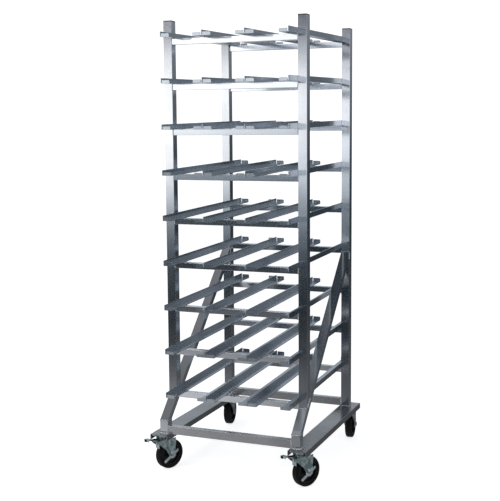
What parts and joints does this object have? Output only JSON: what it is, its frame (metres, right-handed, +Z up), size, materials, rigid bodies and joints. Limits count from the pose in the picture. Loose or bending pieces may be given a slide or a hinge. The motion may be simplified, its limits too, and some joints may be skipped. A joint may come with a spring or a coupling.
{
  "type": "can storage rack",
  "caption": "Mobile aluminium rack whose sloping rails hold rows of large food cans on their sides and roll them to the front, on swivel casters with front brakes.",
  "frame": {"origin": "on the floor, in the middle of the rack's footprint, rails and brake pedals included", "axes": "+Z up, +X across the rack, +Y from the low front end of the rails to their high back end"},
  "size_m": [0.7486, 0.8425, 1.903],
  "materials": {
    "rail_aluminium": "mill finish, drawn along the rail",
    "crossbar_aluminium": "mill finish",
    "post_aluminium": "mill finish, brushed lengthways",
    "channel_aluminium": "mill finish",
    "cap_plastic": "moulded, satin",
    "tyre_rubber": "moulded",
    "wheel_plastic": "moulded",
    "pedal_rubber": "ribbed",
    "bolt_zinc": "zinc plated",
    "caster_zinc": "zinc plated, pressed"
  },
  "bodies": {
    "rack": {"back_post_left": "post_aluminium", "back_post_right": "post_aluminium", "brace_left": "post_aluminium", "brace_right": "post_aluminium", "caster_bolts": "bolt_zinc", "caster_plate_back_left": "caster_zinc", "caster_plate_back_right": "caster_zinc", "caster_plate_front_left": "caster_zinc", "caster_plate_front_right": "caster_zinc", "front_member": "crossbar_aluminium", "front_post_left": "post_aluminium", "front_post_right": "post_aluminium", "kingpins": "bolt_zinc", "level_1_crossbars": "crossbar_aluminium", "level_1_rails": "rail_aluminium", "level_2_crossbars": "crossbar_aluminium", "level_2_rails": "rail_aluminium", "level_3_crossbars": "crossbar_aluminium", "level_3_rails": "rail_aluminium", "level_4_crossbars": "crossbar_aluminium", "level_4_rails": "rail_aluminium", "level_5_crossbars": "crossbar_aluminium", "level_5_rails": "rail_aluminium", "level_6_crossbars": "crossbar_aluminium", "level_6_rails": "rail_aluminium", "level_7_crossbars": "crossbar_aluminium", "level_7_rails": "rail_aluminium", "level_8_crossbars": "crossbar_aluminium", "level_8_rails": "rail_aluminium", "level_9_crossbars": "crossbar_aluminium", "level_9_rails": "rail_aluminium", "post_caps": "cap_plastic", "rear_member": "crossbar_aluminium", "side_channel_left": "channel_aluminium", "side_channel_right": "channel_aluminium", "stub_left": "post_aluminium", "stub_right": "post_aluminium"},
    "swivel_front_left": {"fork_front_left": "caster_zinc", "axle_front_left": "bolt_zinc", "lock_arm_front_left": "caster_zinc"},
    "wheel_front_left": {"tyre_front_left": "tyre_rubber", "wheel_core_front_left": "wheel_plastic"},
    "brake_front_left": {"pedal_front_left": "caster_zinc", "pedal_pad_front_left": "pedal_rubber"},
    "swivel_front_right": {"fork_front_right": "caster_zinc", "axle_front_right": "bolt_zinc", "lock_arm_front_right": "caster_zinc"},
    "wheel_front_right": {"tyre_front_right": "tyre_rubber", "wheel_core_front_right": "wheel_plastic"},
    "brake_front_right": {"pedal_front_right": "caster_zinc", "pedal_pad_front_right": "pedal_rubber"},
    "swivel_back_left": {"fork_back_left": "caster_zinc", "axle_back_left": "bolt_zinc"},
    "wheel_back_left": {"tyre_back_left": "tyre_rubber", "wheel_core_back_left": "wheel_plastic"},
    "swivel_back_right": {"fork_back_right": "caster_zinc", "axle_back_right": "bolt_zinc"},
    "wheel_back_right": {"tyre_back_right": "tyre_rubber", "wheel_core_back_right": "wheel_plastic"}
  },
  "joints": [
    {"name": "swivel_front_left", "type": "hinge", "parent": "rack", "child": "swivel_front_left", "pos_m": [-0.312, -0.364, 0.131], "axis": [0, 0, 1], "continuous": true},
    {"name": "wheel_spin_front_left", "type": "hinge", "parent": "swivel_front_left", "child": "wheel_front_left", "pos_m": [-0.29885, -0.33704, 0.0635], "axis": [0.8988, -0.4384, 0], "continuous": true},
    {"name": "brake_front_left", "type": "hinge", "parent": "swivel_front_left", "child": "brake_front_left", "pos_m": [-0.32647, -0.39366, 0.126], "axis": [0.8988, -0.4384, 0], "range_deg": [0, 14]},
    {"name": "swivel_front_right", "type": "hinge", "parent": "rack", "child": "swivel_front_right", "pos_m": [0.312, -0.364, 0.131], "axis": [0, 0, 1], "continuous": true},
    {"name": "wheel_spin_front_right", "type": "hinge", "parent": "swivel_front_right", "child": "wheel_front_right", "pos_m": [0.327, -0.33802, 0.0635], "axis": [0.866, -0.5, 0], "continuous": true},
    {"name": "brake_front_right", "type": "hinge", "parent": "swivel_front_right", "child": "brake_front_right", "pos_m": [0.2955, -0.39258, 0.126], "axis": [0.866, -0.5, 0], "range_deg": [0, 14]},
    {"name": "swivel_back_left", "type": "hinge", "parent": "rack", "child": "swivel_back_left", "pos_m": [-0.312, 0.3181, 0.131], "axis": [0, 0, 1], "continuous": true},
    {"name": "wheel_spin_back_left", "type": "hinge", "parent": "swivel_back_left", "child": "wheel_back_left", "pos_m": [-0.31566, 0.34788, 0.0635], "axis": [0.9925, 0.1219, 0], "continuous": true},
    {"name": "swivel_back_right", "type": "hinge", "parent": "rack", "child": "swivel_back_right", "pos_m": [0.312, 0.3181, 0.131], "axis": [0, 0, 1], "continuous": true},
    {"name": "wheel_spin_back_right", "type": "hinge", "parent": "swivel_back_right", "child": "wheel_back_right", "pos_m": [0.30886, 0.34794, 0.0635], "axis": [0.9945, 0.1045, 0], "continuous": true}
  ]
}
